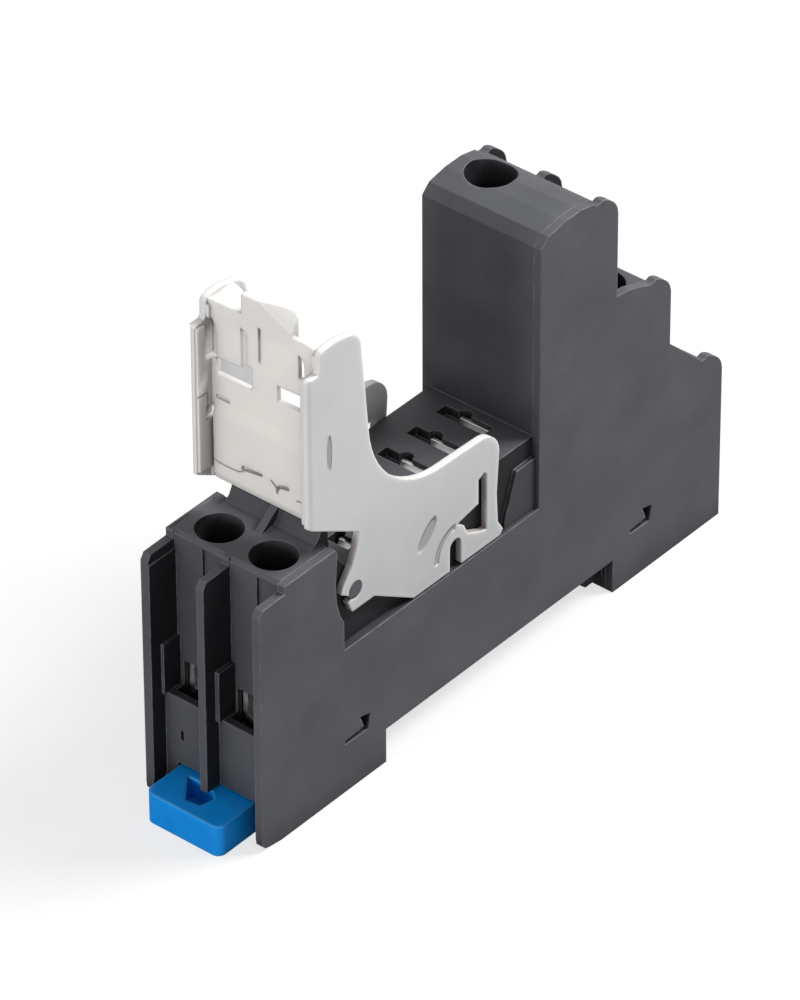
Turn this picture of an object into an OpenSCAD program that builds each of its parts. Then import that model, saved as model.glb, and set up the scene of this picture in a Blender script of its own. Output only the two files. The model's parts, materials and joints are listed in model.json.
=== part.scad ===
// Slim screw socket for a plug-in relay, clipped on a 35 mm mounting rail.
// X is the width, +Y runs from the coil terminals to the contact tower, +Z is up.
// The origin is the middle of the face that lies on the rail.
// Inside the modules y is measured from the front end and z from the feet;
// placed() moves a piece from there to the origin.

/* [Body] */
// Overall width of the socket
body_w = 16.4; // [16:0.1:17]
// Overall length, front end to back end
body_l = 78.4; // [78:0.1:84]
// Thickness of each outer side wall, which is also the recess for the clip's arms
side_t = 1; // [0.9:0.05:1.1]
// Height of the front terminal block above the feet
block_h = 32.8; // [32.5:0.1:34]
// Height of the seat that the relay stands on
seat_h = 28.1; // [27.8:0.1:29]
// Height of the side walls' sill beside the relay
sill_h = 18.8; // [18.2:0.1:19]
// Place of the tower's front face along the length
tower_y = 46.3; // [46:0.1:46.6]
// Height of the tower's highest terminal deck
tower_h = 53.4; // [53:0.1:56]
// Length of the tower's top, front to back
tower_l = 13.1; // [12.9:0.1:13.3]
// Drop from one terminal deck to the next
tier_drop = 15.4; // [15:0.1:15.8]

/* [Mounting rail] */
// Width of the mounting rail
rail_w = 35; // [35:0.1:35.4]
// Thickness of the rail's lips
rail_t = 1; // [0.9:0.05:1.1]
// Length of the recess that takes the rail
recess_l = 39; // [38.6:0.1:40]
// Place of the recess's front end along the length
recess_y = 20.4; // [20:0.1:20.6]
// Height of the rail face above the base line that heights are measured from
foot_h = 4.2; // [4.1:0.1:4.6]
// Depth of the soles below the base line
sole_h = 0.25; // [0.1:0.05:0.4]
// Reach of the jaws under the rail's lips
jaw = 1.4; // [1.2:0.1:1.6]

/* [Terminals] */
// Distance between the left and the right terminals
pole_pitch = 7.5; // [7.4:0.05:7.6]
// Distance from the front end to the coil screws
front_set = 7.6; // [7.5:0.05:7.8]
// Distance from a step's back face to its screw
back_set = 6.65; // [6.5:0.05:6.8]
// Distance from the tower's back face to its screw
top_set = 6.95; // [6.85:0.05:7]
// Depth of the front wire channels
front_chan = 4.3; // [4:0.1:4.4]
// Depth of the wire channels behind each step
back_chan = 3.2; // [2.8:0.1:3.3]
// Thickness of the rib between two wire channels
rib_t = 1; // [0.8:0.1:1.2]
// Radius of the screwdriver wells
well_r = 2.7; // [2.65:0.05:2.75]
// Radius of the well in the tower's top
top_well_r = 2.95; // [2.9:0.05:3]
// Radius of a screw head
head_r = 2.4; // [2.2:0.05:2.45]
// Height of a screw head
head_h = 1.8; // [1.5:0.1:2]
// Radius of a screw shank
shank_r = 1.5; // [1.3:0.05:1.55]
// Height of the coil terminals' tongues above the feet
coil_tongue_h = 16.9; // [16.5:0.1:17.4]
// Depth of a tongue below its deck on the tower
deck_depth = 10.2; // [9:0.1:10.3]
// Free height for the wires in an open clamp
wire_gap = 4; // [3.6:0.1:4.1]
// Height of a wire window
window_h = 3.2; // [2.8:0.1:3.4]
// Rise of a clamp from open to closed
clamp_rise = 3; // [2.6:0.1:3]
// Sheet thickness of the clamp cages
cage_t = 0.7; // [0.6:0.05:0.8]
// Thickness of the threaded top of a cage
cage_top = 1.1; // [1:0.1:1.2]
// Thickness of the contact strips
strip_t = 0.8; // [0.7:0.05:0.9]

/* [Relay seat] */
// Distance from the tower's front face to the last row of relay blades
row_set = 2.4; // [2.3:0.1:2.5]
// Spacing of the contact rows
row_pitch = 5; // [4.9:0.05:5.1]
// Distance from the coil row to the first contact row
coil_row = 15; // [14.8:0.1:15.2]
// Distance between the two coil slots
coil_pitch = 7; // [6.9:0.05:7.1]
// Length of a contact slot across the socket
slot_w = 6.6; // [6.2:0.1:6.8]
// Length of a coil slot across the socket
coil_slot_w = 3; // [2.8:0.1:3.2]
// Width of the relay slots along the socket
slot_l = 1.7; // [1.6:0.1:1.9]
// Thickness of the relay's blades
blade_t = 0.5; // [0.4:0.05:0.6]

/* [Clip] */
// Thickness of the clip's arms and cheeks
arm_t = 0.85; // [0.7:0.05:0.85]
// Place of the clip's pivot along the length
pivot_y = 15.5; // [15.4:0.05:15.6]
// Height of the clip's pivot above the feet
pivot_z = 25.8; // [25.7:0.05:25.9]
// Radius of the pivot bosses
boss_r = 1.05; // [0.9:0.05:1.1]
// Place of the front plate's face along the length
plate_y = 10.5; // [10.4:0.1:10.6]
// Thickness of the front plate
plate_t = 0.6; // [0.5:0.1:0.8]

/* [Rail latch] */
// Width of the latch
latch_w = 10.4; // [10:0.1:10.6]
// Height of the latch's handle
latch_h = 3.7; // [3.5:0.05:3.75]
// Reach of the latch's handle in front of the socket
latch_out = 3.6; // [3.2:0.1:4]
// Travel of the latch when it is drawn out
latch_travel = 3.2; // [2.8:0.1:3.4]
// Outer radius of the latch's spring
spring_r = 1.3; // [1.1:0.05:1.3]
// Radius of the spring's wire
wire_r = 0.2; // [0.15:0.01:0.25]
// Turns of the spring
spring_turns = 9; // [7:1:11]

/* [Clearances] */
// Gap beside a part that slides or swings
run_gap = 0.3; // [0.25:0.01:0.35]
// Radial play of a turning fit
turn_gap = 0.06; // [0.04:0.01:0.08]
// Gap round a fixed metal part in its slot
fix_gap = 0.12; // [0.1:0.01:0.15]

/* [Hidden] */
$fn = 48;
over = 0.5;

// The rail is gripped between the fixed hook at the back and the latch at the front
rail_mid = recess_y + recess_l / 2;
rail_front = rail_mid - rail_w / 2;
rail_back = rail_mid + rail_w / 2;
lip_z = foot_h - rail_t - 0.1;

half_w = body_w / 2;
core_w = half_w - side_t;
pole_x = pole_pitch / 2;

// Back faces and deck heights of the three steps, highest first
tier_run = (body_l - tower_y - tower_l) / 2;
tier_y = [for (k = [0 : 2]) body_l - (2 - k) * tier_run];
deck_z = [for (k = [0 : 2]) tower_h - k * tier_drop];

// Heights inside a terminal, from the top of its tongue
tongue_t = 0.9;
tip_gap = 0.3;
cage_clear = 0.4;
cage_low = -tongue_t - wire_gap - cage_t;
cage_high = cage_clear + cage_top;
shelf_low = cage_high + clamp_rise + run_gap;
shelf_t = 1.1;
head_low = shelf_low + shelf_t + 0.05;
cage_w = 5.2;
cage_l = 4.8;
pocket_w = cage_w + 2 * run_gap;
pocket_l = cage_l + 2 * run_gap;
tongue_w = cage_w - 2 * cage_t - 2 * run_gap;
window_w = 5;

// Each terminal: side, screw place, way the wire leaves, tongue height, deck height,
// radius of its well and distance to the wall where the wire enters
coil_left = [-1, front_set, -1, coil_tongue_h, block_h, well_r, front_set];
coil_right = [1, front_set, -1, coil_tongue_h, block_h, well_r, front_set];
upper = [-1, tier_y[0] - top_set, 1, deck_z[0] - deck_depth, deck_z[0] + 2, top_well_r, top_set];
middle = [1, tier_y[1] - back_set, 1, deck_z[1] - deck_depth, deck_z[1], well_r, back_set];
lower = [-1, tier_y[2] - back_set, 1, deck_z[2] - deck_depth, deck_z[2], well_r, back_set];
terminals = [coil_left, coil_right, upper, middle, lower];

// Relay rows: three contact rows towards the tower and one coil row
row_y = [for (k = [0 : 2]) tower_y - row_set - k * row_pitch];
coil_y = row_y[2] - coil_row;
coil_x = coil_pitch / 2;

// A fork grips a blade between two prongs
fork_l = 2.4;
fork_w = 4;
fork_x = 0.5;
coil_fork_w = 2.2;
fork_top = seat_h - 0.7;
fork_deep = 6.5;
fork_low = fork_top - 8.5;
path_h = 2.4;
riser_l = 1.4;

// A list of points round an arc
function arc(y, z, r, from, to, n = 8) =
    [for (i = [0 : n]) let (a = from + (to - from) * i / n) [y + r * cos(a), z + r * sin(a)]];

// From the front end and the feet to the middle of the rail face
module placed() {
    translate([0, -rail_mid, -foot_h])
        children();
}

// A side profile drawn in length and height, made solid from x0 to x1
module slab(x0, x1) {
    translate([x0, 0, 0])
        rotate([90, 0, 90])
            linear_extrude(x1 - x0)
                children();
}

// A front profile drawn in width and height, made solid from y0 to y1
module sheet(y0, y1) {
    translate([0, y1, 0])
        rotate([90, 0, 0])
            linear_extrude(y1 - y0)
                children();
}

// A box given by its two corners
module block(low, high) {
    translate(low)
        cube(high - low);
}

// Outline of the side walls, without the bay for the relay
front_low = [[3, -sole_h], [1.3, 0], [0.5, 0.15], [0.1, 0.5], [0, 1.2], [0, 30.9], [0.5, 31.7],
             [front_chan - 0.2, 31.8]];
tower_top = [[tower_y, tower_h - 0.6], [tower_y + 1.2, tower_h + 0.5], [tower_y + 3.9, tower_h + 1],
             [tower_y + 6.6, tower_h + 1.05], [tower_y + 8.8, tower_h + 0.6]];

// The wall's end at a step: a shallow dip, then a rounded ear
function ear(k) = let (y = tier_y[k], z = deck_z[k] + 0.05)
    [[y - 3.7, z + 0.1], [y - 3.2, z + 0.1], [y - 2.7, z + 0.25], [y - 2.2, z + 0.1], [y - 1.7, z - 0.2],
     [y - 1.3, z - 0.5], [y - 0.9, z - 0.85], [y - 0.5, z - 1.3], [y - 0.2, z - 1.85], [y, z - 2.7]];

module wall_outline() {
    polygon(concat(
        [[recess_y, -sole_h], [recess_y, foot_h], [recess_y + recess_l, foot_h]],
        [[recess_y + recess_l, -sole_h], [body_l, -sole_h]],
        [for (p = [len(ear(2)) - 1 : -1 : 0]) ear(2)[p]],
        [[tier_y[1] + 5.8, deck_z[2] + 0.2], [tier_y[1], deck_z[2] + 5.7]],
        [for (p = [len(ear(1)) - 1 : -1 : 0]) ear(1)[p]],
        [[tier_y[0] + 4.4, deck_z[1] + 0.7], [tier_y[0] + 2, deck_z[1] + 1.5], [tier_y[0], deck_z[1] + 1.7]],
        [for (p = [len(ear(0)) - 1 : -1 : 0]) ear(0)[p]],
        [for (p = [len(tower_top) - 1 : -1 : 0]) tower_top[p]],
        [[tower_y, sill_h], [13.6, sill_h], [13.6, 22.6], [13, 23.8], [12.45, 25.6], [12.3, 28]],
        [[12.6, block_h - 0.6], [12.3, block_h], [front_chan - 0.2, block_h]],
        [for (p = [len(front_low) - 1 : -1 : 0]) front_low[p]]));
}

// Outline of the body between the side walls
module core_outline() {
    floor_z = coil_tongue_h - tongue_t - window_h;
    back_floor = deck_z[2] - deck_depth - tongue_t - window_h;
    polygon(concat(
        [[2.1, -sole_h], [recess_y, -sole_h], [recess_y, foot_h], [recess_y + recess_l, foot_h]],
        [[recess_y + recess_l, -sole_h], [body_l - back_chan / 2, -sole_h]],
        [[body_l - back_chan / 2, back_floor], [body_l - back_chan, back_floor]],
        [[body_l - back_chan, deck_z[2]], [tier_y[1] - back_chan, deck_z[2]]],
        [[tier_y[1] - back_chan, deck_z[1]], [tier_y[0] - back_chan, deck_z[1]]],
        [[tier_y[0] - back_chan, deck_z[0] + 0.05]],
        [for (p = [len(tower_top) - 1 : -1 : 0]) tower_top[p]],
        [[tower_y, seat_h], [15.4, seat_h], [12.8, block_h - 0.6], [12.2, block_h]],
        [[front_chan + 0.4, block_h], [front_chan, block_h - 0.4], [front_chan, floor_z], [2.1, floor_z]]));
}

// Everything cut out of the body for one screw clamp
module terminal_space(t) {
    x = t[0] * pole_x;
    y = t[1];
    z = t[3];
    wall = t[2] * (t[6] + over);
    translate([x, y, z + shelf_low + shelf_t])
        cylinder(r = t[5], h = t[4] - z - shelf_low - shelf_t + over);
    translate([x, y, z + shelf_low - over])
        cylinder(r = shank_r + 0.2, h = shelf_t + 2 * over);
    block([x - pocket_w / 2, y - pocket_l / 2, z + cage_low - run_gap],
          [x + pocket_w / 2, y + pocket_l / 2, z + shelf_low]);
    block([x - window_w / 2, min(y, y + wall), z - tongue_t - window_h],
          [x + window_w / 2, max(y, y + wall), z - tongue_t]);
}

// The space behind the low front panel, where the wires drop to the clamps
module wire_sump(t) {
    x = t[0] * pole_x;
    block([x - window_w / 2, 3, coil_tongue_h - tongue_t - window_h - 2.2],
          [x + window_w / 2, t[1], coil_tongue_h - tongue_t]);
}

// Side profile of a coil strip: a tongue, a plate and a fork that opens upwards
module coil_profile(grow = 0) {
    z = coil_tongue_h;
    block2([front_set - cage_l / 2 + 0.4 - grow, z - tongue_t - grow],
           [coil_y + fork_l / 2 + grow, z + grow]);
    block2([coil_y - fork_l / 2 - grow, z - tongue_t - grow], [coil_y + fork_l / 2 + grow, fork_low + 2 + grow]);
}

// Side profile of a contact strip that runs from its fork at y0 to the terminal t
module contact_profile(t, y0, z0, grow = 0) {
    riser = t[1] - pocket_l / 2 - 1.4 - riser_l;
    block2([y0 - fork_l / 2 - grow, z0 - grow], [riser + riser_l + grow, z0 + path_h + grow]);
    block2([y0 - fork_l / 2 - grow, z0 - grow], [y0 + fork_l / 2 + grow, fork_low + 2 + grow]);
    block2([riser - grow, z0 - grow], [riser + riser_l + grow, t[3] + grow]);
}

// A rectangle given by its two corners
module block2(low, high) {
    translate(low)
        square(high - low);
}

// A fork of two prongs with a flared mouth, centred on y0 and cut for the blade
module fork_profile(y0) {
    difference() {
        block2([y0 - fork_l / 2, fork_low], [y0 + fork_l / 2, fork_top]);
        block2([y0 - blade_t / 2, fork_top - fork_deep], [y0 + blade_t / 2, fork_top + over]);
        polygon([[y0 - blade_t / 2, fork_top - 1.2], [y0 - 0.75, fork_top + 0.01],
                 [y0 + 0.75, fork_top + 0.01], [y0 + blade_t / 2, fork_top - 1.2]]);
    }
}

// Heights at which the three contact strips run to the back, one above the other
run_z = [17.2, 13.6, 5.8];
plate_left = fork_x - fork_w / 2;
plate_right = fork_x + fork_w / 2 - strip_t;

module coil_strip(side) {
    x = side * coil_x;
    t = side < 0 ? coil_left : coil_right;
    block([t[0] * pole_x - tongue_w / 2, t[1] - cage_l / 2 + 0.4, t[3] - tongue_t],
          [t[0] * pole_x + tongue_w / 2, t[1] + pocket_l / 2 + 1.4, t[3]]);
    slab(x - strip_t / 2, x + strip_t / 2)
        difference() {
            coil_profile();
            block2([0, 0], [t[1] + pocket_l / 2 + 0.2, coil_tongue_h + 10]);
        }
    slab(x - coil_fork_w / 2, x + coil_fork_w / 2)
        fork_profile(coil_y);
}

// Room for a coil strip in the body
module coil_strip_space(side) {
    x = side * coil_x;
    t = side < 0 ? coil_left : coil_right;
    g = fix_gap;
    block([t[0] * pole_x - tongue_w / 2 - g, t[1], t[3] - tongue_t - g],
          [t[0] * pole_x + tongue_w / 2 + g, t[1] + pocket_l / 2 + 1.4 + g, t[3] + g]);
    slab(x - strip_t / 2 - g, x + strip_t / 2 + g)
        coil_profile(g);
    block([x - coil_fork_w / 2 - g, coil_y - fork_l / 2 - g, fork_low - g],
          [x + coil_fork_w / 2 + g, coil_y + fork_l / 2 + g, fork_top + g]);
}

module contact_strip(t, row, z0) {
    x = t[0] < 0 ? plate_left : plate_right;
    flag_y = t[1] - pocket_l / 2 - 1.4 - riser_l;
    slab(x, x + strip_t)
        contact_profile(t, row, z0);
    slab(fork_x - fork_w / 2, fork_x + fork_w / 2)
        fork_profile(row);
    block([min(x, t[0] * pole_x - tongue_w / 2), flag_y, t[3] - tongue_t],
          [max(x + strip_t, t[0] * pole_x + tongue_w / 2), flag_y + riser_l + 0.8, t[3]]);
    block([t[0] * pole_x - tongue_w / 2, flag_y, t[3] - tongue_t],
          [t[0] * pole_x + tongue_w / 2, t[1] + cage_l / 2 - 0.4, t[3]]);
}

// Room for a contact strip in the body
module contact_strip_space(t, row, z0) {
    g = fix_gap;
    x = t[0] < 0 ? plate_left : plate_right;
    flag_y = t[1] - pocket_l / 2 - 1.4 - riser_l;
    slab(x - g, x + strip_t + g)
        contact_profile(t, row, z0, g);
    block([fork_x - fork_w / 2 - g, row - fork_l / 2 - g, fork_low - g],
          [fork_x + fork_w / 2 + g, row + fork_l / 2 + g, fork_top + g]);
    block([min(x, t[0] * pole_x - tongue_w / 2) - g, flag_y - g, t[3] - tongue_t - g],
          [max(x + strip_t, t[0] * pole_x + tongue_w / 2) + g, flag_y + riser_l + 0.8 + g, t[3] + g]);
    block([t[0] * pole_x - tongue_w / 2 - g, flag_y - g, t[3] - tongue_t - g],
          [t[0] * pole_x + tongue_w / 2 + g, t[1], t[3] + g]);
}

// Slots in the relay seat, each with a rounded notch for the blade's shoulder
module relay_slots() {
    for (y = row_y) {
        block([fork_x - 0.8 - slot_w / 2, y - slot_l / 2, fork_top - over],
              [fork_x - 0.8 + slot_w / 2, y + slot_l / 2, seat_h + over]);
        translate([-0.9, y + slot_l / 2, fork_top - 1])
            cylinder(r = 0.85, h = seat_h - fork_top + 1 + over);
    }
    for (side = [-1, 1]) {
        block([side * coil_x - coil_slot_w / 2, coil_y - slot_l / 2, fork_top - over],
              [side * coil_x + coil_slot_w / 2, coil_y + slot_l / 2, seat_h + over]);
        translate([side * coil_x - 1, coil_y + slot_l / 2, fork_top - 1])
            cylinder(r = 0.6, h = seat_h - fork_top + 1 + over);
    }
}

// The channel under the front foot that the latch slides in
chan_w = latch_w / 2 + run_gap;
chan_h = latch_h + run_gap;
tongue_out = 1;
tongue_low = 1.4;
tongue_high = 2.4;
post_y = 5.2;
post_l = 1.2;
post_w = 2.6;

module latch_channel() {
    difference() {
        block([-chan_w, -over, -sole_h - over], [chan_w, recess_y + over, chan_h]);
        block([-post_w, post_y, 0.6], [post_w, post_y + post_l, chan_h + over]);
    }
    block([-chan_w - tongue_out, 5.5, tongue_low - run_gap],
          [chan_w + tongue_out, recess_y + over, tongue_high + run_gap]);
}

// The fixed hook that the back lip of the rail goes under
module rail_hook() {
    y = rail_back + 0.1;
    slab(-core_w + 0.6, core_w - 0.6)
        polygon([[y - jaw, lip_z - 1.4], [y - jaw + 0.5, lip_z - 1.8], [recess_y + recess_l + over, lip_z - 1.8],
                 [recess_y + recess_l + over, foot_h + over], [y, foot_h + over], [y, lip_z], [y - jaw, lip_z]]);
}

// Lead-in wedges beside the tower that guide the ends of the clip's arms
module arm_guides() {
    for (side = [0, 1])
        mirror([side, 0, 0])
            slab(core_w - over, core_w + side_t / 2)
                polygon([[40.9, sill_h], [41.1, sill_h + 1.3], [43, sill_h + 6.6],
                         [tower_y, sill_h + 6.7], [tower_y, sill_h]]);
}

// Bosses that the clip's hooks snap on
module pivot_bosses() {
    translate([-half_w + 0.05, pivot_y, pivot_z])
        rotate([0, 90, 0])
            cylinder(r = boss_r, h = 2 * half_w - 0.1);
}

// The two wire channels' floors, ledges and the small sight slot at the front
module front_trim() {
    for (x = [-core_w - over, rib_t / 2 - over])
        block([x, 1.6, 12.8], [x + over + 0.5, front_chan + over, 19.3]);
    block([-half_w, 0, 2], [-half_w + side_t + 0.15, front_chan + over, 30.5]);
}

// The raised wall behind the coil wells: two hollow scoops with a straight rib between them
module scoop_wall() {
    back = [[13.3, block_h + 2.4], [13.6, block_h - 1.8], [15.3, seat_h]];
    foot = front_set + well_r + 0.1;
    slab(-scoop_w, scoop_w)
        polygon(concat([[foot, seat_h], [foot, block_h], [foot + 1, block_h + 0.25], [foot + 1.6, block_h + 0.8]],
                       [[foot + 2, block_h + 1.6], [foot + 2.1, block_h + 2.4]], back));
    slab(-0.45, 0.45)
        polygon(concat([[foot - 1.1, seat_h], [foot - 1.1, block_h], [foot + 2.1, block_h + 2.4]], back));
}
scoop_w = 6.2;

// The right half of each front channel is a little deeper above the wire window
module channel_steps() {
    for (x = [-pole_x + 0.45, pole_x + 0.45])
        block([x, front_chan - over, coil_tongue_h + 6], [x + 2.8, front_chan + 0.35, block_h - 0.7]);
}

// The rail face stands back over the jaws, so that the rail's lips lie free there
module lip_relief() {
    lift = 0.15;
    for (y = [[recess_y, rail_front + jaw + 0.4], [rail_back - jaw - 0.4, rail_back + 0.1]])
        block([-half_w - over, y[0], foot_h - over], [core_w, y[1], foot_h + lift]);
}

// Pockets behind the side cover for its snap tongues
module snap_pockets() {
    for (y = snap_y)
        block([core_w - 2, y[0] - 0.4, 5.6], [core_w + over, y[1] + 0.3, 8.6]);
}
snap_y = [[13.6, 17.8], [62.3, 66.2]];

module housing_core() {
    slab(-core_w, core_w)
        core_outline();
    slab(-half_w, -core_w)
        wall_outline();
    slab(-rib_t / 2, rib_t / 2)
        wall_outline();
    pivot_bosses();
    arm_guides();
    rail_hook();
    front_trim();
    scoop_wall();
}

module housing() {
    color("#4b4c50")
        placed()
            difference() {
                housing_core();
                for (t = terminals)
                    terminal_space(t);
                wire_sump(coil_left);
                wire_sump(coil_right);
                coil_strip_space(-1);
                coil_strip_space(1);
                contact_strip_space(upper, row_y[0], run_z[0]);
                contact_strip_space(middle, row_y[1], run_z[1]);
                contact_strip_space(lower, row_y[2], run_z[2]);
                relay_slots();
                latch_channel();
                snap_pockets();
                channel_steps();
                lip_relief();
                block([-5, 1.5, 7.2], [-4.5, 2.6, 8.5]);
                block([-half_w + 0.35, front_chan, block_h - 0.15], [-half_w + 0.5, 11.4, block_h + over]);
            }
}

// The flat cover on the right side, with its two bent snap openings
module side_cover() {
    color("#56575b")
        placed()
            difference() {
                slab(core_w, half_w)
                    wall_outline();
                slab(core_w - over, half_w + over)
                    for (y = snap_y)
                        polygon([[y[0], 6.15], [y[1] - 0.4, 6.05], [y[1], 8], [y[1] - 1.7, 8.4],
                                 [y[1] - 1.1, 6.8], [y[0], 6.6]]);
            }
}

// Outline of one cheek and arm of the clip
module arm_outline() {
    py = pivot_y;
    pz = pivot_z;
    difference() {
        polygon(concat(
            [[cheek_y, pz + 11.8], [cheek_y, cheek_z], [cheek_y + 0.3, cheek_z + 0.25]],
            [[plate_y - 0.6, cheek_z + 0.3]],
            [[plate_y - 0.35, cheek_z + 0.7], [plate_y - 0.3, cheek_z + 2.5], [plate_y, cheek_z + 2.85]],
            [[plate_y + 0.7, cheek_z + 3.05], [plate_y + 2.2, cheek_z + 3.1], [plate_y + 3.4, cheek_z + 2.9]],
            arc(plate_y + 3.9, cheek_z + 0.4, 2.3, 75, 10, 5),
            [[py + 1.7, pz + 25.9], [py + 2.3, pz + 19.7]],
            arc(py + 14.6, pz + 20.3, 12.3, 190, 265, 12),
            [[py + 18, pz + 7.9]],
            arc(py + 20.8, pz + 4.7, 3.1, 85, 0, 6),
            [[py + 23.5, pz - 0.8], [py + 23.7, pz - 4.6], [py + 24.6, pz - 6.1], [py + 24.1, pz - 6.7]],
            [[py + 9.6, pz - 6.7], [py + 3.1, pz - 2.6], [py - 0.5, pz - 2.6]],
            [[py - 1.1, pz - 1.2], [py, pz - 0.65], [py - 1.1, pz - 0.2], [py - 2.3, pz + 0.6]],
            [[py - 1.9, pz + 1.5], [py - 1.2, pz + 2.4], [py - 0.4, pz + 3.4], [py + 0.2, pz + 4.9]],
            [[py + 0.8, pz + 7.2]]));
        translate([py, pz])
            circle(r = boss_r + turn_gap);
        block2([py + 15.6, pz - 8], [py + 17.6, pz - 3.9]);
        translate([py + 16.6, pz - 3.9])
            circle(r = 1);
        polygon([[py + 20.4, pz + 2.7], [py + 21.4, pz + 3.2], [py + 21.9, pz + 2.7], [py + 21.9, pz - 4.6],
                 [py + 21.2, pz - 4.5], [py + 18.6, pz - 3.3], [py + 18, pz - 1.9], [py + 16.8, pz - 1.1],
                 [py + 20.4, pz - 0.4]]);
    }
}

// Front edge and shoulder of the cheeks, foot and top of the plate between them
cheek_y = plate_y - 2.2;
cheek_z = pivot_z + 30.5;
cheek_in = half_w - 1.25;
plate_low = pivot_z + 10.7;
plate_high = pivot_z + 33.3;
pad_t = 0.3;

// Outline of the clip's front plate, up to its top edge
module plate_outline() {
    edge = half_w - arm_t + 0.1;
    top = plate_high;
    polygon([[-edge, plate_low], [edge, plate_low], [edge, top - 0.6], [7, top - 0.1], [6.2, top + 0.1],
             [3.9, top + 0.1], [-2.6, top + 0.1], [-edge, top]]);
}

// Windows, slits and small marks of the front plate, with an arched top where they are seen as arches
module plate_openings() {
    low = plate_low;
    polygon([[-6.25, low + 13.5], [-1.4, low + 13.6], [-1.4, low + 16.3], [-2.04, low + 16.5],
             [-2.04, low + 20.1], [-2.3, low + 20.6], [-2.88, low + 20.9], [-2.88, low + 15.8],
             [-6.25, low + 15.7]]);
    polygon([[-7.4, low + 15.4], [-6.25, low + 15.4], [-6.25, low + 18.6], [-6.4, low + 19.6],
             [-6.75, low + 20.3], [-7.4, low + 20.5]]);
    polygon([[2.05, low + 13.7], [6.9, low + 13.8], [6.9, low + 15.9], [2.05, low + 15.7]]);
    polygon([[4.95, low + 17.9], [5.76, low + 17.9], [5.76, low + 20], [5.5, low + 20.6],
             [4.95, low + 20.9]]);
    block2([-0.5, low + 17.5], [-0.15, low + 21.9]);
    block2([-cheek_in, low - over], [-6.64, low + 7.7]);
    block2([-cheek_in - 0.45, low + 7.7], [-6.64, low + 9.4]);
    block2([-6.4, low + 10.35], [-4.6, low + 10.8]);
    polygon([[-2.8, low + 2.8], [-2.8, low + 3.35], [-2.5, low + 3.45], [0.05, low + 3.55],
             [0.05, low + 3.2]]);
    polygon([[1.95, low + 2], [2.15, low + 2], [2.3, low + 2.6], [2.6, low + 2.85], [3.65, low + 3.05],
             [3.7, low + 3.45], [3.4, low + 3.6], [2.4, low + 3.25], [2.05, low + 2.85], [1.25, low + 3.45],
             [1.1, low + 3.35], [1.95, low + 2.55]]);
}

// Fine lines scored into the pad of the front plate
module plate_lines() {
    low = plate_low;
    polygon([[-6.7, low + 2.65], [-6.15, low + 2.43], [-4.9, low + 2.36], [-3.3, low + 2.42],
             [-2.5, low + 2.8], [-2.5, low + 2.68], [-3.3, low + 2.28], [-4.9, low + 2.22],
             [-6.15, low + 2.3], [-6.7, low + 2.52]]);
    polygon([[4.7, low + 2.2], [5.25, low + 2.3], [5.8, low + 1.9], [5.9, low + 2.05], [5.3, low + 2.45],
             [4.7, low + 2.35]]);
}

// The raised grip above the plate, with a slanting scoop taken out of its front edge
module grip() {
    top = plate_high + 2.65;
    difference() {
        sheet(plate_y, plate_y + 1.2)
            polygon([[-2.75, top - 3.5], [-2.75, top - 0.1], [-0.4, top], [2.2, top], [3.5, top - 0.15],
                     [3.95, top - 0.5], [4.05, top - 1], [4.05, top - 3.2], [2, top - 3.5]]);
        translate([-0.6, plate_y, top])
            rotate([52, 25, 0])
                translate([-9, -9, 0])
                    cube([14.1, 18, 9]);
    }
}

// The thumb ledge at the plate's upper left, rounded at its back
module ledge() {
    translate([0, 0, plate_high - 0.9])
        linear_extrude(0.9)
            polygon([[-half_w + 0.1, plate_y], [-2.7, plate_y], [-2.7, plate_y + 2.1], [-4.5, plate_y + 3],
                     [-6.3, plate_y + 3.7], [-half_w + 0.1, plate_y + 4.2]]);
}

module relay_clip() {
    color("#d3d1cd")
        placed()
            difference() {
                union() {
                    for (side = [0, 1])
                        mirror([side, 0, 0]) {
                            slab(half_w - arm_t, half_w)
                                arm_outline();
                            block([cheek_in, cheek_y + 0.1, pivot_z + 12.1],
                                  [half_w - 0.1, plate_y + plate_t, cheek_z]);
                            block([cheek_in, plate_y - pad_t, cheek_z - over],
                                  [half_w - 0.1, plate_y + plate_t, plate_high - 0.6]);
                        }
                    sheet(plate_y, plate_y + plate_t)
                        plate_outline();
                    slab(-6.64, cheek_in + 0.1)
                        polygon([[plate_y + pad_t, plate_low + 0.01], [plate_y, plate_low + 0.01],
                                 [plate_y - pad_t, plate_low + 0.9], [plate_y - pad_t, plate_low + 8.5],
                                 [plate_y, plate_low + 10.3], [plate_y + pad_t, plate_low + 10.3]]);
                    grip();
                    ledge();
                }
                sheet(plate_y - 1, plate_y + plate_t + 0.2)
                    plate_openings();
                sheet(plate_y - 1, plate_y - pad_t + 0.2)
                    plate_lines();
                for (side = [0, 1])
                    mirror([side, 0, 0])
                        cheek_round();
                block([-half_w - over, plate_y + 0.5, pivot_z + 16.4],
                      [-half_w + arm_t + over, plate_y + 1.8, pivot_z + 19.2]);
                block([-cheek_in - 0.2, cheek_y - over, cheek_z - 8.8],
                      [-cheek_in + over, plate_y - 0.7, cheek_z - 8.55]);
                block([-cheek_in - 0.2, plate_y - 0.8, cheek_z - 10.6],
                      [-cheek_in + over, plate_y - 0.55, cheek_z - 8.55]);
            }
}

// Rounding of a cheek's outer front edge
module cheek_round() {
    r = 0.6;
    translate([half_w - r, cheek_y + r, pivot_z + 11])
        difference() {
            translate([0, -r - over, 0])
                cube([r + over, r + over, cheek_z - pivot_z - 10.8]);
            translate([0, 0, -over])
                cylinder(r = r, h = cheek_z - pivot_z - 9);
        }
}

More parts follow.
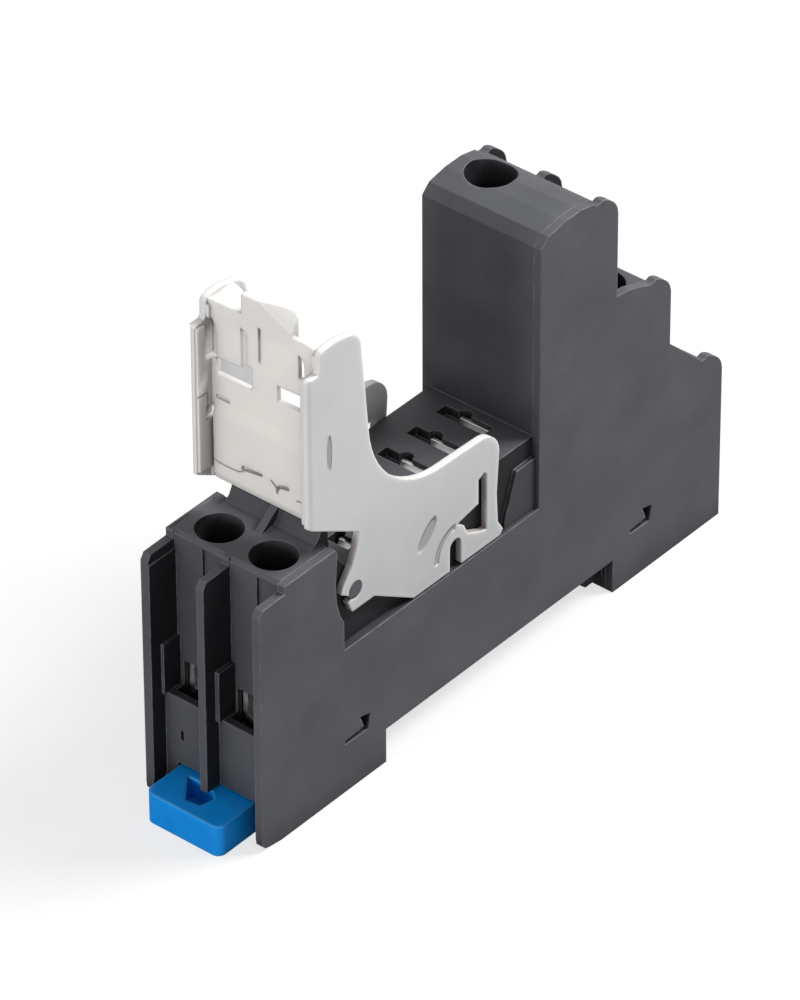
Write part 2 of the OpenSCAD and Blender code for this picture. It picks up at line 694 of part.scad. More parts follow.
// The blue latch: a handle, two runners and a jaw that snaps under the rail
module rail_latch() {
    inner = post_w + 0.5;
    color("#1b75bb")
        placed()
            difference() {
                union() {
                    latch_handle();
                    block([-latch_w / 2, 1, -sole_h], [latch_w / 2, rail_front - 0.1, latch_h]);
                    slab(-latch_w / 2, latch_w / 2)
                        polygon([[recess_y - 2, -sole_h], [rail_front - 0.1, -sole_h], [rail_front - 0.1 + jaw, 1.8],
                                 [rail_front - 0.1 + jaw, lip_z - 0.1], [recess_y - 2, lip_z - 0.1]]);
                    block([-latch_w / 2 - tongue_out, 5.8 + latch_travel, tongue_low],
                          [latch_w / 2 + tongue_out, recess_y - 1, tongue_high]);
                }
                block([-inner, post_y - run_gap, -sole_h - over], [inner, recess_y - 2, latch_h + over]);
                driver_hole();
            }
}

module latch_handle() {
    r = 1;
    for (x = [-latch_w / 2 + r, latch_w / 2 - r])
        translate([x, r - latch_out, -sole_h])
            cylinder(r = r, h = latch_h + sole_h);
    block([-latch_w / 2 + r, -latch_out, -sole_h], [latch_w / 2 - r, 2, latch_h]);
    block([-latch_w / 2, r - latch_out, -sole_h], [latch_w / 2, 2, latch_h]);
}

// The slanted hole for the tip of a screwdriver
module driver_hole() {
    translate([0, 0, 0.8])
        linear_extrude(latch_h)
            polygon([[-3.3, 1.2], [-0.9, -2], [1, -1.8], [1.4, 0], [0.4, 0.9], [-1.3, 1.3]]);
}

// One point ring of the spring's wire, at the fraction u of its length
function ring(u, y0, y1) = let (a = 360 * spring_turns * u, c = spring_r - wire_r)
    [for (k = [0 : 7]) let (b = 45 * k, d = c + wire_r * cos(b))
        [d * cos(a), y0 + wire_r + (y1 - y0 - 2 * wire_r) * u + wire_r * sin(b), d * sin(a)]];

module latch_spring() {
    y0 = post_y + post_l;
    y1 = recess_y - 2;
    n = 12 * spring_turns;
    rings = [for (i = [0 : n]) ring(i / n, y0, y1)];
    points = [for (r = rings) for (p = r) p];
    sides = [for (i = [0 : n - 1]) for (k = [0 : 7])
        [8 * i + k, 8 * i + (k + 1) % 8, 8 * (i + 1) + (k + 1) % 8, 8 * (i + 1) + k]];
    ends = [[for (k = [7 : -1 : 0]) k], [for (k = [0 : 7]) 8 * n + k]];
    color("silver")
        placed()
            translate([0, 0, latch_h / 2])
                polyhedron(points, concat(sides, ends));
}

// A folded cage with a threaded top, round the tongue t
module clamp(t) {
    color("gainsboro")
        placed()
            translate([t[0] * pole_x, t[1], t[3]])
                difference() {
                    block([-cage_w / 2, -cage_l / 2, cage_low], [cage_w / 2, cage_l / 2, cage_high]);
                    block([-cage_w / 2 + cage_t, -cage_l, cage_low + cage_t],
                          [cage_w / 2 - cage_t, cage_l, cage_clear]);
                    cylinder(r = shank_r + turn_gap, h = 20);
                }
}

// A cheese-head screw with a cross and slot
module screw(t) {
    color("silver")
        placed()
            translate([t[0] * pole_x, t[1], t[3]])
                difference() {
                    union() {
                        translate([0, 0, tip_gap + 0.4])
                            cylinder(r = shank_r, h = head_low - tip_gap);
                        translate([0, 0, tip_gap])
                            cylinder(r1 = shank_r - 0.4, r2 = shank_r, h = 0.4);
                        translate([0, 0, head_low])
                            cylinder(r = head_r, h = head_h - 0.3);
                        translate([0, 0, head_low + head_h - 0.3])
                            cylinder(r1 = head_r, r2 = head_r - 0.3, h = 0.3);
                    }
                    block([-head_r - over, -0.35, head_low + head_h - 0.9],
                          [head_r + over, 0.35, head_low + head_h + over]);
                    block([-0.4, -1.4, head_low + head_h - 1.1], [0.4, 1.4, head_low + head_h + over]);
                }
}

module coil_strip_left() {
    color("#c9a24a")
        placed()
            coil_strip(-1);
}

module coil_strip_right() {
    color("#c9a24a")
        placed()
            coil_strip(1);
}

module contact_strip_upper() {
    color("#c9a24a")
        placed()
            contact_strip(upper, row_y[0], run_z[0]);
}

module contact_strip_middle() {
    color("#c9a24a")
        placed()
            contact_strip(middle, row_y[1], run_z[1]);
}

module contact_strip_lower() {
    color("#c9a24a")
        placed()
            contact_strip(lower, row_y[2], run_z[2]);
}

housing();
side_cover();
relay_clip();
rail_latch();
latch_spring();
coil_strip_left();
coil_strip_right();
contact_strip_upper();
contact_strip_middle();
contact_strip_lower();
clamp(coil_left);  // coil_clamp_left
clamp(coil_right);  // coil_clamp_right
clamp(upper);  // clamp_upper
clamp(middle);  // clamp_middle
clamp(lower);  // clamp_lower
screw(coil_left);  // coil_screw_left
screw(coil_right);  // coil_screw_right
screw(upper);  // screw_upper
screw(middle);  // screw_middle
screw(lower);  // screw_lower
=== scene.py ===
# %% [markdown]
# # A slim relay socket in moulded plastic
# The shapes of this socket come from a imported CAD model. This script gives them their moulded
# plastics and plated metals, draws the shallow marks on the clip, and sets the camera and the
# light. Everything is in metres: x is the narrow width, y runs from the coil terminals to the
# tower, and z is up, with the origin on the face that lies on the mounting rail. Lengths in
# constants and arguments are in millimetres, unless a comment says metres.

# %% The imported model
import bpy
import json
import math
import numpy as np
from mathutils import Matrix, Vector


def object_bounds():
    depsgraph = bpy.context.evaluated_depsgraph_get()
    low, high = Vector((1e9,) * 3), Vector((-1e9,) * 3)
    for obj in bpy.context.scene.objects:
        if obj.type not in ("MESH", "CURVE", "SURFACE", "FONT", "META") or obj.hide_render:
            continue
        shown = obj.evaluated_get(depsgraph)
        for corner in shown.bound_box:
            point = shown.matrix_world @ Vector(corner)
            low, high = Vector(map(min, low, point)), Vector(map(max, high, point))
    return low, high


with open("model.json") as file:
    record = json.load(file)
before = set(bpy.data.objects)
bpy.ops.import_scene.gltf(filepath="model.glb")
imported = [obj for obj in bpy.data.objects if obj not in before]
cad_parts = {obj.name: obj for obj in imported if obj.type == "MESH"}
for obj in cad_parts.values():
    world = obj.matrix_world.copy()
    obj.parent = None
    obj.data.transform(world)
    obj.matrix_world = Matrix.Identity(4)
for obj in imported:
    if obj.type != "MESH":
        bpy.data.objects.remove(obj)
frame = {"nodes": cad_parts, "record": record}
cad_low, cad_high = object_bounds()
MM = 0.001
print("CAD nodes:", len(frame["nodes"]),
      "box", [round(v / MM, 1) for v in cad_high - cad_low], "mm")

# %% [markdown]
# ## The camera
# A long lens far away keeps upright edges nearly parallel, as in a catalogue picture. The camera
# circles a point inside the socket by an azimuth, an elevation and a distance. It is then moved a
# few millimetres sideways and up, still looking the same way, so that the socket sits right in
# the frame. A turn of the camera would do that too, but it would change the angles.

# %% Camera
FRONT_TO_ORIGIN = 39.9
FEET_TO_ORIGIN = 4.2


def bench(x, y, z):
    """A point measured in millimetres from the front end and the feet, as a vector in metres from
    the origin: y and z are shifted by the two distances above, and all three are scaled by a
    thousandth."""
    return Vector((x, y - FRONT_TO_ORIGIN, z - FEET_TO_ORIGIN)) * MM


def aim(azimuth, elevation, roll=0):
    """Axes of something that looks at the socket, as matrix rows: right, up and backwards.
    Backwards is the unit vector at the given azimuth (from -y towards +x) and elevation, right is
    level, up is their cross product, and the roll turns right and up about backwards."""
    a, e, r = (math.radians(v) for v in (azimuth, elevation, roll))
    back = Vector((math.sin(a) * math.cos(e), -math.cos(a) * math.cos(e), math.sin(e)))
    right = Vector((math.cos(a), math.sin(a), 0))
    up = back.cross(right)
    return Matrix((right * math.cos(r) + up * math.sin(r),
                   up * math.cos(r) - right * math.sin(r), back))


CAM_AZIMUTH, CAM_ELEVATION, CAM_ROLL = 39.93, 36.55, -0.22
CAM_TARGET = bench(0.1, 40, 25)
CAM_RIGHT, CAM_UP, CAM_DISTANCE = -4.78, -4.22, 877.6
FOCAL_SHARE = 8.144
SENSOR = 36
VIEW_NEAR, VIEW_FAR = 0.05, 20  # metres

cam_data = bpy.data.cameras.new("catalogue_camera")
cam_data.sensor_width = SENSOR
cam_data.lens = FOCAL_SHARE * SENSOR
cam_data.clip_start, cam_data.clip_end = VIEW_NEAR, VIEW_FAR
camera = bpy.data.objects.new("catalogue_camera", cam_data)
bpy.context.collection.objects.link(camera)
cam_axes = aim(CAM_AZIMUTH, CAM_ELEVATION, CAM_ROLL).transposed()
cam_place = CAM_TARGET + cam_axes @ Vector((CAM_RIGHT, CAM_UP, CAM_DISTANCE)) * MM
camera.matrix_world = Matrix.Translation(cam_place) @ cam_axes.to_4x4()
bpy.context.scene.camera = camera
print("camera at", [round(v, 4) for v in cam_place], "m, lens", round(cam_data.lens, 1), "mm")

# %% [markdown]
# ## Helpers for materials
# Colours are written as the hex values that a picture shows, and one function turns them to the
# linear values that light works in. A second function adds any node with its settings and links.
# Pattern sizes are worked out from millimetres: a noise texture of scale s has features of about
# 1/s metres. Its values lie mostly between 0.3 and 0.7, so that span is what patterns are
# stretched from.

# %% Colour, scale and nodes
NOISE_LOW, NOISE_HIGH = 0.3, 0.7


def srgb(code):
    """Linear colour of a six-digit hex value, by the sRGB curve: at most 0.04045 is divided by
    12.92, and above that 0.055 is added, the sum is divided by 1.055 and raised to the power
    2.4."""
    v = np.array([int(code[i:i + 2], 16) for i in (1, 3, 5)]) / 255
    lin = np.where(v <= 0.04045, v / 12.92, ((v + 0.055) / 1.055) ** 2.4)
    return (*(float(c) for c in lin), 1.0)


def per_metre(mm):
    """Texture scale for features of the given size in millimetres: how many fit in a metre."""
    return 1 / (mm * MM)


def add(mat, kind, settings=None, links=None):
    """Adds a node. A key in settings is an input socket's name or number, or a property of the
    node; a key in links is the input that the given output feeds."""
    n = mat.node_tree.nodes.new(kind)
    for key, value in (settings or {}).items():
        if isinstance(key, int) or key in n.inputs:
            n.inputs[key].default_value = value
        else:
            setattr(n, key, value)
    for key, source in (links or {}).items():
        mat.node_tree.links.new(source, n.inputs[key])
    return n


def new_material(name):
    """An empty node material, with object coordinates ready for its patterns."""
    mat = bpy.data.materials.new(name)
    mat.use_nodes = True
    mat.node_tree.nodes.clear()
    return mat, add(mat, "ShaderNodeTexCoord").outputs["Object"]


def finish_material(mat, shader):
    """Links the shader to the material's output, and gives the material back."""
    add(mat, "ShaderNodeOutputMaterial", links={"Surface": shader.outputs[0]})
    return mat


def stretch(mat, source, low, high, to_low=0.0, to_high=1.0):
    """Maps the span low to high of a value onto to_low to to_high, and clamps what lies
    outside."""
    return add(mat, "ShaderNodeMapRange", {"From Min": low, "From Max": high, "To Min": to_low,
               "To Max": to_high}, {"Value": source}).outputs[0]


def spread(mat, noise, to_low=0.0, to_high=1.0):
    """Stretches the usual span of a noise texture onto to_low to to_high."""
    return stretch(mat, noise.outputs[0], NOISE_LOW, NOISE_HIGH, to_low, to_high)


def blend_colours(mat, factor, low, high):
    """Mixes two colours by a factor. Each is a hex value or the output of another mix. The
    sockets 6 and 7 are the two colours of a mix of the kind RGBA, and its output 2 is the mixed
    one."""
    mix = add(mat, "ShaderNodeMix", {"data_type": "RGBA"}, {0: factor})
    for slot, colour in ((6, low), (7, high)):
        if isinstance(colour, str):
            mix.inputs[slot].default_value = srgb(colour)
        else:
            mat.node_tree.links.new(colour, mix.inputs[slot])
    return mix.outputs[2]


print("a noise of 0.5 mm has scale", per_metre(0.5))

# %% [markdown]
# ## What edges show
# No moulded edge is sharp. The mould leaves a radius of a tenth or two of a millimetre, which
# catches a thin line of light, and handling polishes it. The CAD edges are sharp, and rounding
# them all would cost many faces, so the Bevel node bends the normals near an edge in the same
# way. Where the bent normal departs from the true one there is an edge, and that same measure
# says where wear goes and where a painted highlight makes the colour paler.

# %% Edge rounding and wear
NORMAL_SAMPLES = 6
AGREE, DEPART = 0.995, 0.8


def facing(mat):
    """The true normal of the face, before any rounding."""
    return add(mat, "ShaderNodeNewGeometry").outputs["True Normal"]


def soft_edges(mat, radius_mm):
    """Normals bent round every edge within the radius, and a mask of the edges: 0 where the dot
    product of the bent and the true normal is at least AGREE, 1 where it is at most DEPART."""
    bent = add(mat, "ShaderNodeBevel",
               {"samples": NORMAL_SAMPLES, "Radius": radius_mm * MM}).outputs[0]
    dot = add(mat, "ShaderNodeVectorMath", {"operation": "DOT_PRODUCT"},
              {0: bent, 1: facing(mat)}).outputs["Value"]
    return bent, stretch(mat, dot, AGREE, DEPART)


print("edges are found with", NORMAL_SAMPLES, "samples")

# %% [markdown]
# ## Painted shade in hollows
# A dark plastic sends back so little light that a narrow well or channel in it goes nearly black.
# The Ambient Occlusion node measures how open a place is, and painted shade there turns the
# colour towards a deeper one.

# %% Painted shade in hollows
OPEN_SAMPLES = 6


def paint_hollow_shade(mat, colour, deep, reach_mm, shut, clear):
    """Paints shade into hollows: mixes a colour towards a deep one by the share of open directions
    within the reach: at the share shut only the deep one is left, and from the share clear on only
    the colour."""
    share = add(mat, "ShaderNodeAmbientOcclusion",
                {"samples": OPEN_SAMPLES, "Distance": reach_mm * MM}).outputs["AO"]
    return blend_colours(mat, stretch(mat, share, shut, clear), deep, colour)


print("hollows are found with", OPEN_SAMPLES, "samples")

# %% [markdown]
# ## Glass-filled polyamide
# The body and its side cover are moulded in dark grey polyamide with glass fibre. The mould is
# spark eroded, which prints a fine matt grain; the real grain is about 0.05 mm, too fine to show
# here, so it is drawn at 0.25 mm. Fibres near the surface give faint cloudy flow marks some
# millimetres wide. Polyamide is rather matt (roughness near 0.5) with an index of refraction of
# about 1.53. The world is white in reflections, which would lay a pale sheen on the dark faces, so
# the specular level is low. Wells and channels get painted shade, and faces that look sideways
# between the outer walls, which get hardly any light, get painted shade too.

# %% Moulded grey polyamide
OUTER_WALL, WELL_INSIDE = 8.1, 7.3
SIDEWAYS_FROM, SIDEWAYS_FULL = 0.9, 0.95
WELL_REACH, WELL_SHUT, WELL_CLEAR = 9, 0.12, 0.7
RUB_LOW, RUB_HIGH, RUB_LEAST, RUB_MOST = 0.35, 0.65, 0.25, 0.9
BODY_ROUGH = (0.44, 0.6)


def size_of_x(mat, vector):
    """The x part of a vector without its sign, so that both sides of the socket are treated
    alike."""
    part = add(mat, "ShaderNodeSeparateXYZ", links={0: vector}).outputs["X"]
    return add(mat, "ShaderNodeMath", {"operation": "ABSOLUTE"}, {0: part}).outputs[0]


def moulded_polyamide(name, deep, pale, edge, hollow_shade, flank_shade,
                      cloud_mm=7, grain_mm=0.25, scuff_mm=1.6, radius_mm=0.22):
    """Cloudy from deep to pale. Painted shade gives hollow in wells and flank on sideways faces
    between the outer walls; edge goes where it is rubbed, as wear and as a painted highlight."""
    mat, where = new_material(name)
    bent, edges = soft_edges(mat, radius_mm)
    cloud = add(mat, "ShaderNodeTexNoise", {"Scale": per_metre(cloud_mm), "Detail": 3},
                {"Vector": where})
    speck = add(mat, "ShaderNodeTexNoise", {"Scale": per_metre(grain_mm), "Detail": 2},
                {"Vector": where})
    scuff = add(mat, "ShaderNodeTexNoise", {"Scale": per_metre(scuff_mm), "Detail": 5},
                {"Vector": where})
    body = blend_colours(mat, spread(mat, cloud), deep, pale)
    # Painted shade: wells and channels sink towards a near black.
    body = paint_hollow_shade(mat, body, hollow_shade, WELL_REACH, WELL_SHUT, WELL_CLEAR)
    # Painted shade on faces that look sideways between the outer walls.
    sideways_shade_mask = add(mat, "ShaderNodeMath", {"operation": "MULTIPLY"},
                {0: stretch(mat, size_of_x(mat, where), OUTER_WALL * MM, WELL_INSIDE * MM),
                 1: stretch(mat, size_of_x(mat, facing(mat)),
                            SIDEWAYS_FROM, SIDEWAYS_FULL)}).outputs[0]
    body = blend_colours(mat, sideways_shade_mask, body, flank_shade)
    # Edges go paler where rubbed: partly wear, partly a painted highlight.
    rubbed = stretch(mat, scuff.outputs[0], RUB_LOW, RUB_HIGH, RUB_LEAST, RUB_MOST)
    worn_and_highlight = add(mat, "ShaderNodeMath", {"operation": "MULTIPLY"},
               {0: edges, 1: rubbed}).outputs[0]
    colour = blend_colours(mat, worn_and_highlight, body, edge)
    rough = spread(mat, speck, *BODY_ROUGH)
    bump = add(mat, "ShaderNodeBump", {"Strength": 0.25, "Distance": 0.03 * MM},
               {"Height": speck.outputs[0], "Normal": bent})
    shader = add(mat, "ShaderNodeBsdfPrincipled", {"IOR": 1.53, "Specular IOR Level": 0.2},
                 {"Base Color": colour, "Roughness": rough, "Normal": bump.outputs[0]})
    return finish_material(mat, shader)


GREY = moulded_polyamide("moulded_grey_polyamide", deep="#4d4e52", pale="#56575b", edge="#8d8e93",
                         hollow_shade="#121214", flank_shade="#222326")
COVER = moulded_polyamide("moulded_grey_polyamide_cover", deep="#4f5054", pale="#58595d",
                          edge="#919297", hollow_shade="#151517", flank_shade="#222326")
print("made", GREY.name, "and", COVER.name)

# %% [markdown]
# ## Marks pressed into the clip
# Each arm of the clip has a dent, a curved groove round its slot and a long dent on the cheek.
# They are only a few tenths of a millimetre deep, so masks in the bump draw them, and the same
# masks lay painted shade in the colour.

# %% Pressed-in marks
ARM_DENT = dict(y=27.3, z=26.2, half_long=2.1, half_wide=0.8, tilt=48)
CHEEK_DENT = dict(y=11.5, z=45.8, half_long=0.4, half_wide=2.2, tilt=0)
ARM_GROOVE = dict(y=32.1, z=21.4, radius=3.2, half_wide=0.45)
ANY_WIDTH = 1000  # metres: so wide that x plays no part
OVAL_OUT, OVAL_IN = 1.1, 0.85
ARC_CORE, ARC_FADE = 0.5, -0.3


def oval_mark(mat, where, y, z, half_long, half_wide, tilt):
    """A mask that is 1 inside an oval on the arms' side faces and 0 outside. The coordinates are
    moved to the oval's middle, turned by its tilt and divided by its half axes, so that its edge
    is at length 1."""
    place = bench(0, y, z)
    turned = add(mat, "ShaderNodeMapping", {"vector_type": "TEXTURE", "Location": place,
                 "Rotation": (math.radians(tilt), 0, 0),
                 "Scale": (ANY_WIDTH, half_long * MM, half_wide * MM)}, {"Vector": where})
    reach = add(mat, "ShaderNodeVectorMath", {"operation": "LENGTH"}, {0: turned.outputs[0]})
    return stretch(mat, reach.outputs["Value"], OVAL_OUT, OVAL_IN)


def arc_mark(mat, where, y, z, radius, half_wide):
    """A mask along the upper front quarter of a ring: the distance from the ring's middle, less
    its radius, made positive, and cut off behind the middle and below it."""
    moved = add(mat, "ShaderNodeMapping", {"vector_type": "TEXTURE", "Location": bench(0, y, z),
                "Scale": (ANY_WIDTH, MM, MM)}, {"Vector": where}).outputs[0]
    reach = add(mat, "ShaderNodeVectorMath", {"operation": "LENGTH"}, {0: moved}).outputs["Value"]
    off = add(mat, "ShaderNodeMath", {"operation": "SUBTRACT", 1: radius}, {0: reach}).outputs[0]
    off = add(mat, "ShaderNodeMath", {"operation": "ABSOLUTE"}, {0: off}).outputs[0]
    part = add(mat, "ShaderNodeSeparateXYZ", links={0: moved}).outputs
    mask = stretch(mat, off, half_wide, ARC_CORE * half_wide)
    for value, full, none in ((part["Y"], ARC_FADE, 0), (part["Z"], 0, ARC_FADE)):
        mask = add(mat, "ShaderNodeMath", {"operation": "MULTIPLY"},
                   {0: mask, 1: stretch(mat, value, none, full)}).outputs[0]
    return mask


print("marks:", ARM_DENT, CHEEK_DENT, ARM_GROOVE)

# %% [markdown]
# ## Milky clip polymer
# The clip is moulded in unfilled, slightly cloudy polymer. Light enters it, scatters about a
# millimetre deep and comes out again, which softens its shadows, so the shader has some
# subsurface scattering. Faces that look sideways get a cool grey and the other faces a warm,
# paler one, as painted light for the light that comes through the thin plate between the cheeks.
# Low down the cool grey sinks to a deeper one, as painted shade where the dark body behind the
# arms shows through. Corners get painted shade towards a warm brown-grey. The
# mould was polished more than the body's, so the clip is smoother.

# %% Milky clip
DARK_BEHIND, CLEAR_BEHIND = 14, 34
CLIP_REACH, CLIP_SHUT, CLIP_CLEAR = 5, 0.3, 0.85
RIM_WIDTH, RIM_SHARE, EDGE_SHARE = 1.5, 0.35, 0.5
CLOUD_SHARE, SIDE_SHARE = 0.3, 0.7
MARK_DEPTH = 0.35
CLIP_ROUGH = (0.3, 0.42)


def milky_polymer(name, warm_lit, cool_side_shade, backed_shade, edge, hollow_shade, dent_shade,
                  cloud_mm=5, ripple_mm=0.9, radius_mm=0.25):
    """Painted light and shade: cool on sideways faces and warm elsewhere, backed low down where
    the dark body is behind the arms, hollow in corners, dent in the pressed marks, and edge as a
    painted highlight along the rims and edges."""
    mat, where = new_material(name)
    bent, edges = soft_edges(mat, radius_mm)
    cloud = add(mat, "ShaderNodeTexNoise", {"Scale": per_metre(cloud_mm), "Detail": 3},
                {"Vector": where})
    ripple = add(mat, "ShaderNodeTexNoise", {"Scale": per_metre(ripple_mm), "Detail": 3},
                 {"Vector": where})
    # Painted light and shade by the way a face looks: sideways faces take the cool colour, the
    # others the warm one.
    flat = size_of_x(mat, facing(mat))
    mixed = add(mat, "ShaderNodeMath", {"operation": "MULTIPLY_ADD", 1: CLOUD_SHARE},
                {0: cloud.outputs[0], 2: stretch(mat, flat, 0, 1, 0, SIDE_SHARE)}).outputs[0]
    # Painted shade low down, where the dark body is behind the arms.
    height = add(mat, "ShaderNodeSeparateXYZ", links={0: where}).outputs["Z"]
    low_shade_share = stretch(mat, height, DARK_BEHIND * MM, CLEAR_BEHIND * MM)
    body = blend_colours(mat, mixed, warm_lit, blend_colours(mat, low_shade_share, backed_shade, cool_side_shade))
    # Painted shade in corners, towards a warm brown-grey.
    body = paint_hollow_shade(mat, body, hollow_shade, CLIP_REACH, CLIP_SHUT, CLIP_CLEAR)
    marks = oval_mark(mat, where, **ARM_DENT)
    for more in (oval_mark(mat, where, **CHEEK_DENT), arc_mark(mat, where, **ARM_GROOVE)):
        marks = add(mat, "ShaderNodeMath", {"operation": "MAXIMUM"},
                    {0: marks, 1: more}).outputs[0]
    marks = add(mat, "ShaderNodeMath", {"operation": "MULTIPLY"}, {0: marks, 1: flat}).outputs[0]
    # Painted shade in the pressed marks.
    body = blend_colours(mat, marks, body, dent_shade)
    # Painted highlight: a wide band along the rims and a narrow one on the edges go paler.
    rim_highlight = stretch(mat, soft_edges(mat, RIM_WIDTH)[1], 0, 1, 0, RIM_SHARE)
    body = blend_colours(mat, rim_highlight, body, edge)
    colour = blend_colours(mat, stretch(mat, edges, 0, 1, 0, EDGE_SHARE), body, edge)
    pressed = add(mat, "ShaderNodeBump", {"Distance": MARK_DEPTH * MM, "invert": True},
                  {"Height": marks, "Normal": bent})
    bump = add(mat, "ShaderNodeBump", {"Strength": 0.12, "Distance": 0.04 * MM},
               {"Height": ripple.outputs[0], "Normal": pressed.outputs[0]})
    shader = add(mat, "ShaderNodeBsdfPrincipled",
                 {"IOR": 1.5, "Subsurface Weight": 0.45, "Subsurface Radius": (1.0, 0.9, 0.8),
                  "Subsurface Scale": 1.1 * MM},
                 {"Base Color": colour, "Normal": bump.outputs[0],
                  "Roughness": spread(mat, ripple, *CLIP_ROUGH)})
    return finish_material(mat, shader)


MILKY = milky_polymer("milky_clip_polymer", warm_lit="#ebe7e3", cool_side_shade="#cacbcd", backed_shade="#aeb0b2",
                      edge="#dddcdc", hollow_shade="#8b807b", dent_shade="#a3a1a5")
print("made", MILKY.name)

# %% [markdown]
# ## Blue latch polymer
# The latch is moulded through in a strong blue, so wear doesn't change its colour much: its rubbed
# edges are only paler. Its mould is finer than the body's, so it is smoother.

# %% Blue latch
LATCH_EDGE_SHARE = 0.6
LATCH_ROUGH = (0.32, 0.46)


def blue_polymer(name, deep, pale, edge, cloud_mm=4, grain_mm=0.3, radius_mm=0.5):
    """Faintly cloudy from deep to pale, with edge where it is rubbed."""
    mat, where = new_material(name)
    bent, edges = soft_edges(mat, radius_mm)
    cloud = add(mat, "ShaderNodeTexNoise", {"Scale": per_metre(cloud_mm), "Detail": 2},
                {"Vector": where})
    grain = add(mat, "ShaderNodeTexNoise", {"Scale": per_metre(grain_mm), "Detail": 2},
                {"Vector": where})
    body = blend_colours(mat, spread(mat, cloud), deep, pale)
    colour = blend_colours(mat, stretch(mat, edges, 0, 1, 0, LATCH_EDGE_SHARE), body, edge)
    bump = add(mat, "ShaderNodeBump", {"Strength": 0.15, "Distance": 0.03 * MM},
               {"Height": grain.outputs[0], "Normal": bent})
    shader = add(mat, "ShaderNodeBsdfPrincipled",
                 {"IOR": 1.5, "Specular IOR Level": 0.3, "Subsurface Weight": 0.08,
                  "Subsurface Scale": 0.5 * MM},
                 {"Base Color": colour, "Normal": bump.outputs[0],
                  "Roughness": spread(mat, grain, *LATCH_ROUGH)})
    return finish_material(mat, shader)


BLUE = blue_polymer("blue_latch_polymer", deep="#0586dc", pale="#0a92ea", edge="#58b8f4")
print("made", BLUE.name)

# %% [markdown]
# ## Plated metals
# The screws and the clamp cages are steel with a bright zinc plating, the contacts are brass
# strip with a tin plating, and the spring is drawn wire. Plating is slightly uneven: it has pale
# and grey patches about a millimetre wide. Rolled strip keeps fine lines along its length and a
# turned screw head keeps rings; both are stretched noise, drawn wider than the real 0.02 mm lines
# so that they show.

# %% Plated and drawn metals
ROUGH_RANGE = 0.07


def plated_metal(name, dull, bright, rough, lines, patch_mm=1.2, line_mm=0.12, radius_mm=0.12):
    """A metal with patches from dull to bright and fine lines along one axis: the three factors
    in lines scale the coordinates, and the small one draws the noise out along its axis."""
    mat, where = new_material(name)
    bent = soft_edges(mat, radius_mm)[0]
    patch = add(mat, "ShaderNodeTexNoise", {"Scale": per_metre(patch_mm), "Detail": 3},
                {"Vector": where})
    drawn = add(mat, "ShaderNodeMapping", {"Scale": lines}, {"Vector": where})
    fine = add(mat, "ShaderNodeTexNoise", {"Scale": per_metre(line_mm), "Detail": 2},
               {"Vector": drawn.outputs[0]})
    tone = blend_colours(mat, spread(mat, patch), dull, bright)
    bump = add(mat, "ShaderNodeBump", {"Strength": 0.2, "Distance": 0.01 * MM},
               {"Height": fine.outputs[0], "Normal": bent})
    shader = add(mat, "ShaderNodeBsdfPrincipled", {"Metallic": 1.0},
                 {"Base Color": tone, "Normal": bump.outputs[0],
                  "Roughness": spread(mat, patch, rough - ROUGH_RANGE, rough + ROUGH_RANGE)})
    return finish_material(mat, shader)


TINNED = plated_metal("tinned_brass_strip", "#f3f3f2", "#fefefe", rough=0.36, lines=(1, 1, 0.08))
ZINC = plated_metal("zinc_plated_cage", "#e4e6e8", "#fafbfc", rough=0.4, lines=(1, 0.1, 1))
SCREW = plated_metal("zinc_plated_screw", "#a9abaf", "#d0d2d6", rough=0.3, lines=(1, 1, 0.1))
WIRE = plated_metal("drawn_spring_wire", "#8e8f94", "#b5b6ba", rough=0.28, lines=(1, 0.2, 1))
print("made", ", ".join(m.name for m in (TINNED, ZINC, SCREW, WIRE)))

# %% [markdown]
# ## Dressing the CAD nodes
# The record names a material slot for every node, so one table from slot to material dresses them
# all.

# %% Materials on the CAD nodes
SLOT_MATERIALS = {"grey_polyamide": GREY, "grey_polyamide_cover": COVER, "clear_polymer": MILKY,
                  "blue_polymer": BLUE, "spring_steel": WIRE, "contact_brass": TINNED,
                  "zinc_plated_steel": ZINC, "screw_steel": SCREW}
for part in frame["record"]["subparts"]:
    mesh = frame["nodes"][part["node"]].data
    mesh.materials.clear()
    mesh.materials.append(SLOT_MATERIALS[part["material_slot"]])

# %% [markdown]
# ## Floor
# The socket stands on a grey card that sends little light back up. A share of plain white that
# only the camera sees makes the card white in the picture, with the socket's shadow still on it.

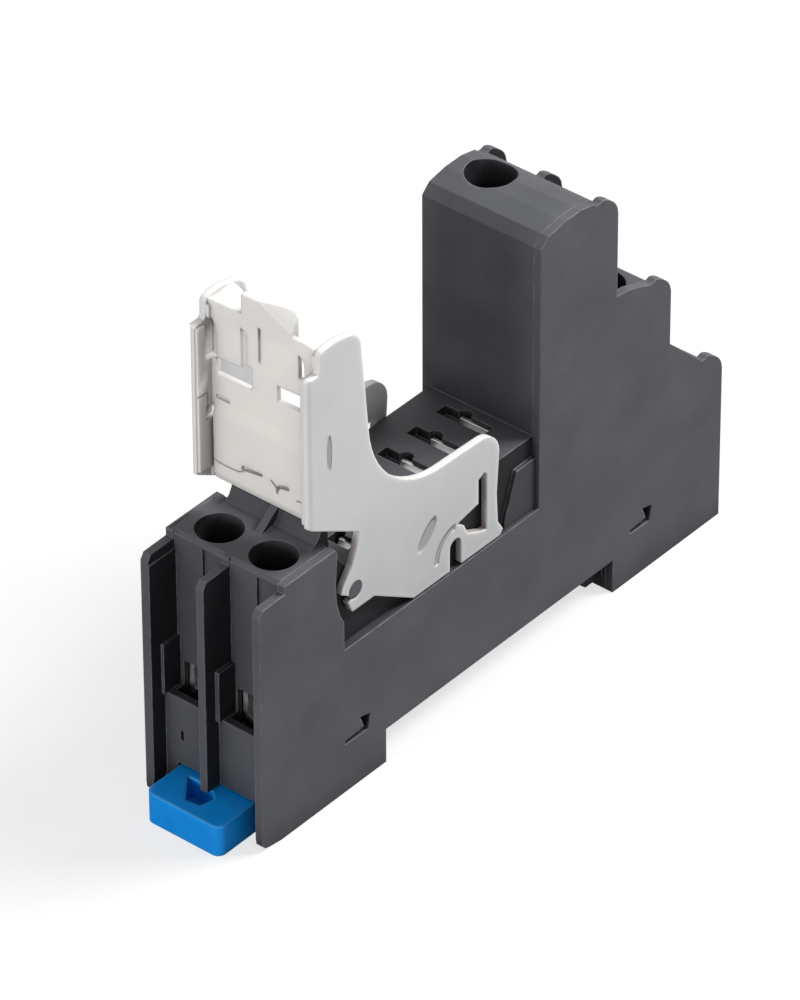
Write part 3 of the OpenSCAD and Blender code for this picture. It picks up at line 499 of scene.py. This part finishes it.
# %% Floor
FLOOR_HALF = 3.0  # metres
FLOOR_CORNERS = ((-1, -1), (1, -1), (1, 1), (-1, 1))
FLOOR_GLOW = 0.7
PAPER_GRAIN = 2
floor_z = cad_low.z
floor_mesh = bpy.data.meshes.new("floor")
floor_mesh.from_pydata([(x * FLOOR_HALF, y * FLOOR_HALF, floor_z) for x, y in FLOOR_CORNERS],
                       [], [(0, 1, 2, 3)])
floor = bpy.data.objects.new("floor", floor_mesh)
bpy.context.collection.objects.link(floor)
floor_mat, floor_where = new_material("grey_card_floor")
paper = add(floor_mat, "ShaderNodeTexNoise", {"Scale": per_metre(PAPER_GRAIN), "Detail": 2},
            {"Vector": floor_where})
floor_seen = add(floor_mat, "ShaderNodeLightPath").outputs["Is Camera Ray"]
floor_shader = add(floor_mat, "ShaderNodeBsdfPrincipled",
                   {"Roughness": 0.9, "Specular IOR Level": 0.1, "Emission Color": (1, 1, 1, 1)},
                   {"Base Color": blend_colours(floor_mat, paper.outputs[0], "#868686", "#8c8c8c"),
                    "Emission Strength": stretch(floor_mat, floor_seen, 0, 1, 0, FLOOR_GLOW)})
floor_mesh.materials.append(finish_material(floor_mat, floor_shader))
print("floor at", round(floor_z / MM, 2), "mm, made of", floor_mat.name)

# %% [markdown]
# ## Light
# Plain studio light: an even grey-white world, one large soft lamp high on the right and behind,
# and a low one in front that reaches the clip's plate, the front channels and the latch but
# leaves the tower in the clip's shade. The world is white to the camera, in reflections and
# through clear parts, without adding light to the socket.

# %% World and lamps
WORLD_LEVEL = 0.5
LIT_POINT = bench(0, 40, 25)
world = bpy.data.worlds.new("studio")
bpy.context.scene.world = world
world.use_nodes = True
world.node_tree.nodes.clear()
rays = add(world, "ShaderNodeLightPath").outputs
seen = add(world, "ShaderNodeMath", {"operation": "MAXIMUM"},
           {0: rays["Is Camera Ray"], 1: rays["Is Transmission Ray"]})
seen = add(world, "ShaderNodeMath", {"operation": "MAXIMUM"},
           {0: seen.outputs[0], 1: rays["Is Glossy Ray"]})
level = add(world, "ShaderNodeMapRange", {"To Min": WORLD_LEVEL, "To Max": 1.0},
            {"Value": seen.outputs[0]})
sky = add(world, "ShaderNodeBackground", {"Color": (1, 1, 1, 1)}, {"Strength": level.outputs[0]})
add(world, "ShaderNodeOutputWorld", links={"Surface": sky.outputs[0]})


def lamp(name, azimuth, elevation, distance, width, watts):
    """A square soft lamp on a sphere round the socket's middle, aimed at it. The distance and the
    width are in metres."""
    data = bpy.data.lights.new(name, "AREA")
    data.size, data.energy = width, watts
    obj = bpy.data.objects.new(name, data)
    bpy.context.collection.objects.link(obj)
    turn = aim(azimuth, elevation).transposed()
    obj.matrix_world = Matrix.Translation(LIT_POINT + turn.col[2] * distance) @ turn.to_4x4()
    print(name, "of", watts, "W")


lamp("key_lamp", azimuth=143, elevation=47, distance=0.8, width=0.3, watts=7.8)
lamp("front_lamp", azimuth=2, elevation=8, distance=0.9, width=0.25, watts=3.4)
bpy.context.scene.view_settings.view_transform = "Standard"
print("world level", WORLD_LEVEL)
